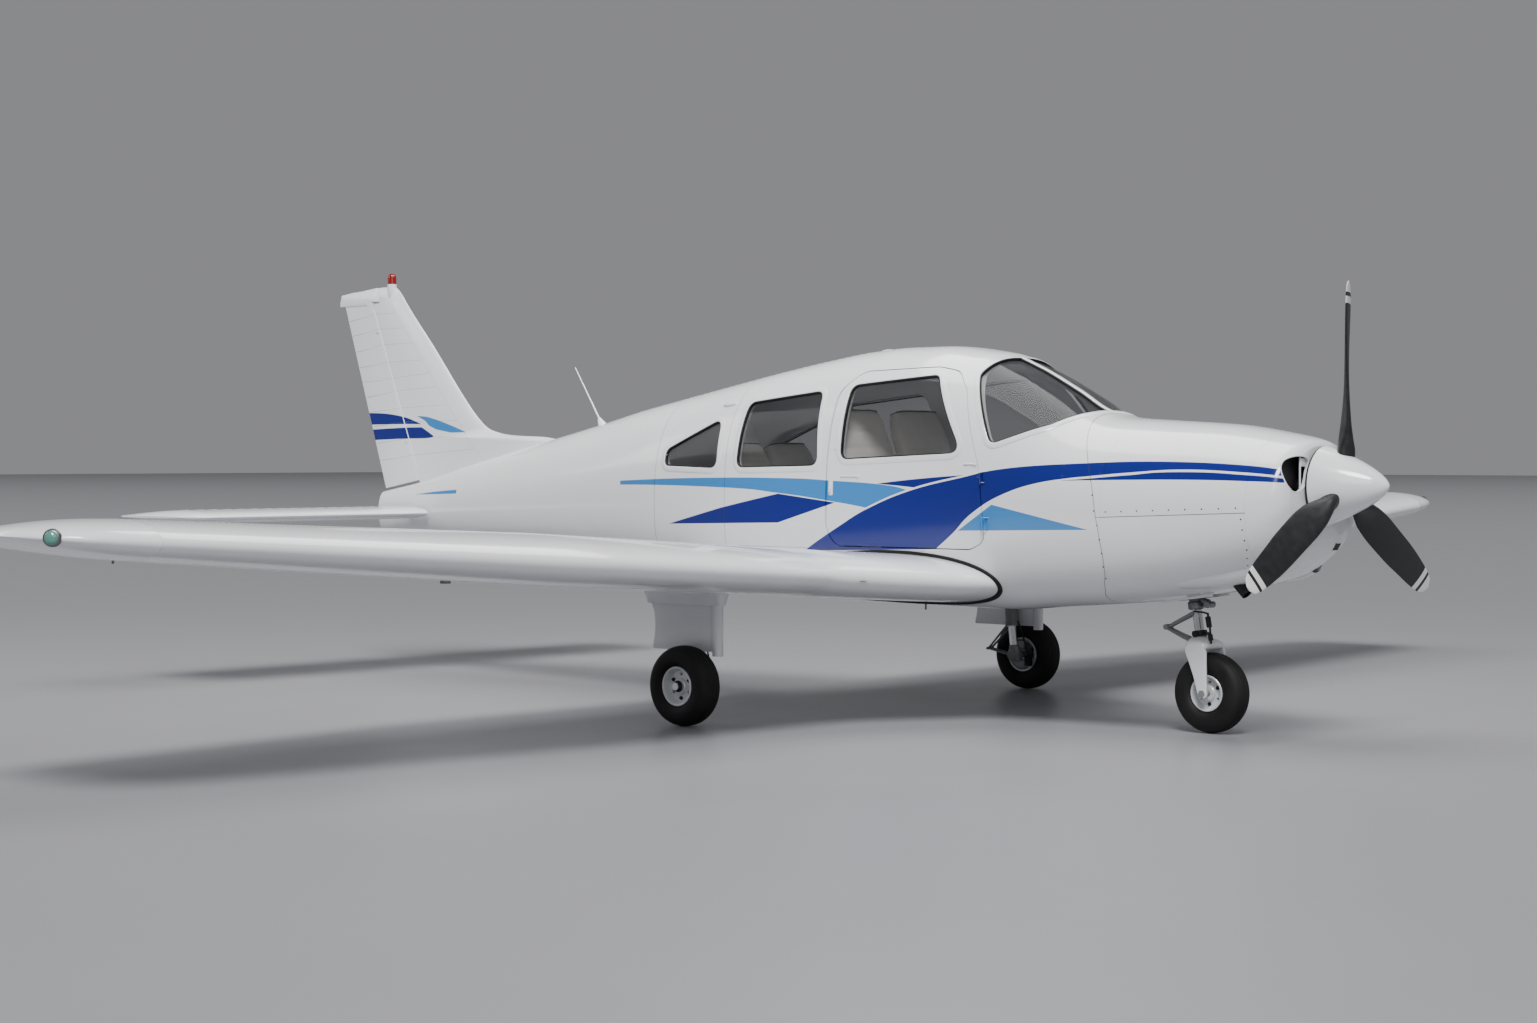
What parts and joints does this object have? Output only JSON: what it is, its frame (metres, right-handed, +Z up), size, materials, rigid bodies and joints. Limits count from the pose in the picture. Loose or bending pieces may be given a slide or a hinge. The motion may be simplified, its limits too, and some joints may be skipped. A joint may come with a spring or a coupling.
{
  "type": "light aircraft",
  "caption": "Low-wing light aircraft with a tractor propeller, retractable tricycle gear, an opening cabin door and working control surfaces, parked on its wheels.",
  "frame": {"origin": "on the ground, in the plane of symmetry, under the middle of the overall length", "axes": "+X forward along the fuselage, +Y to port along the left wing, +Z up"},
  "size_m": [7.569, 11, 2.5173],
  "materials": {
    "paint": "glossy white paint over aluminium sheet",
    "glass": "clear, lightly tinted",
    "metal": "bare, satin",
    "rubber": "matt black",
    "blade": "satin black paint",
    "leather": "pale grained hide over foam",
    "dark": "matt dark grey",
    "casting": "dull grey",
    "beacon": "clear red"
  },
  "bodies": {
    "airframe": {"fuselage": "paint", "tailcone": "paint", "cowl_top": "paint", "cowl_bottom": "paint", "nose_bowl": "paint", "engine": "casting", "wing_left": "paint", "wing_right": "paint", "wing_tip_left": "paint", "wing_tip_right": "paint", "fin": "paint", "beacon": "beacon", "whip_antenna": "dark", "windshield_left": "glass", "windshield_right": "glass", "window_left_front": "glass", "window_left_middle": "glass", "window_left_rear": "glass", "window_right_middle": "glass", "window_right_rear": "glass", "main_leg_left": "metal", "main_leg_right": "metal", "nose_strut": "metal", "seat_left": "leather", "seat_right": "leather", "rear_bench": "leather", "instrument_panel": "dark"},
    "propeller": {"spinner": "paint", "propeller_hub": "metal", "blade_1": "blade", "blade_2": "blade", "blade_3": "blade"},
    "left_wheel": {"main_left_wheel": "metal", "main_left_tyre": "rubber"},
    "right_wheel": {"main_right_wheel": "metal", "main_right_tyre": "rubber"},
    "nose_leg": {"nose_fork": "paint"},
    "front_wheel": {"nose_wheel": "metal", "nose_tyre": "rubber"},
    "door": {"cabin_door": "paint", "door_window": "glass"},
    "left_flap": {"flap_left": "paint"},
    "right_flap": {"flap_right": "paint"},
    "left_aileron": {"aileron_left": "paint"},
    "right_aileron": {"aileron_right": "paint"},
    "rudder_body": {"rudder": "paint"},
    "tailplane": {"stabilator": "paint"},
    "tailplane_tab": {"stabilator_tab": "paint"}
  },
  "joints": [
    {"name": "propeller_spin", "type": "hinge", "parent": "airframe", "child": "propeller", "pos_m": [3.55, 0, 1.215], "axis": [1, 0, 0], "continuous": true},
    {"name": "left_wheel_spin", "type": "hinge", "parent": "airframe", "child": "left_wheel", "pos_m": [0.66, 1.46, 0.2025], "axis": [0, 1, 0], "continuous": true},
    {"name": "right_wheel_spin", "type": "hinge", "parent": "airframe", "child": "right_wheel", "pos_m": [0.66, -1.46, 0.2025], "axis": [0, 1, 0], "continuous": true},
    {"name": "nose_steering", "type": "hinge", "parent": "airframe", "child": "nose_leg", "pos_m": [2.74041, 0, 0.6], "axis": [-0.1454, 0, 0.9894], "range_deg": [-30, 30]},
    {"name": "nose_wheel_spin", "type": "hinge", "parent": "nose_leg", "child": "front_wheel", "pos_m": [2.828, 0, 0.1975], "axis": [0, 1, 0], "continuous": true},
    {"name": "door_hinge", "type": "hinge", "parent": "airframe", "child": "door", "pos_m": [1.86, -0.578, 0.95], "axis": [-0.1091, 0.0595, 0.9922], "range_deg": [0, 70]},
    {"name": "left_flap_hinge", "type": "hinge", "parent": "airframe", "child": "left_flap", "pos_m": [0.23654, 1.7605, 0.78051], "axis": [0.0286, -0.9973, -0.0674], "range_deg": [0, 40]},
    {"name": "right_flap_hinge", "type": "hinge", "parent": "airframe", "child": "right_flap", "pos_m": [0.23654, -1.7605, 0.78051], "axis": [-0.0286, -0.9973, 0.0674], "range_deg": [0, 40]},
    {"name": "left_aileron_hinge", "type": "hinge", "parent": "airframe", "child": "left_aileron", "pos_m": [0.2975, 3.92, 0.92754], "axis": [0.0884, 0.9937, 0.0682], "range_deg": [-15, 30]},
    {"name": "right_aileron_hinge", "type": "hinge", "parent": "airframe", "child": "right_aileron", "pos_m": [0.2975, -3.92, 0.92754], "axis": [-0.0884, 0.9937, -0.0682], "range_deg": [-15, 30]},
    {"name": "rudder_hinge", "type": "hinge", "parent": "airframe", "child": "rudder_body", "pos_m": [-3.12191, 0, 1.5], "axis": [-0.3819, 0, 0.9242], "range_deg": [-27, 27]},
    {"name": "stabilator_hinge", "type": "hinge", "parent": "airframe", "child": "tailplane", "pos_m": [-2.955, 0, 1], "axis": [0, 1, 0], "range_deg": [-2, 16]},
    {"name": "stabilator_tab_hinge", "type": "hinge", "parent": "tailplane", "child": "tailplane_tab", "pos_m": [-3.42, 0, 1], "axis": [0, 1, 0], "range_deg": [-3, 15]}
  ],
  "couplings": [
    {"joint": "right_flap_hinge", "follows": "left_flap_hinge", "ratio": 1},
    {"joint": "stabilator_tab_hinge", "follows": "stabilator_hinge", "ratio": 0.9}
  ]
}
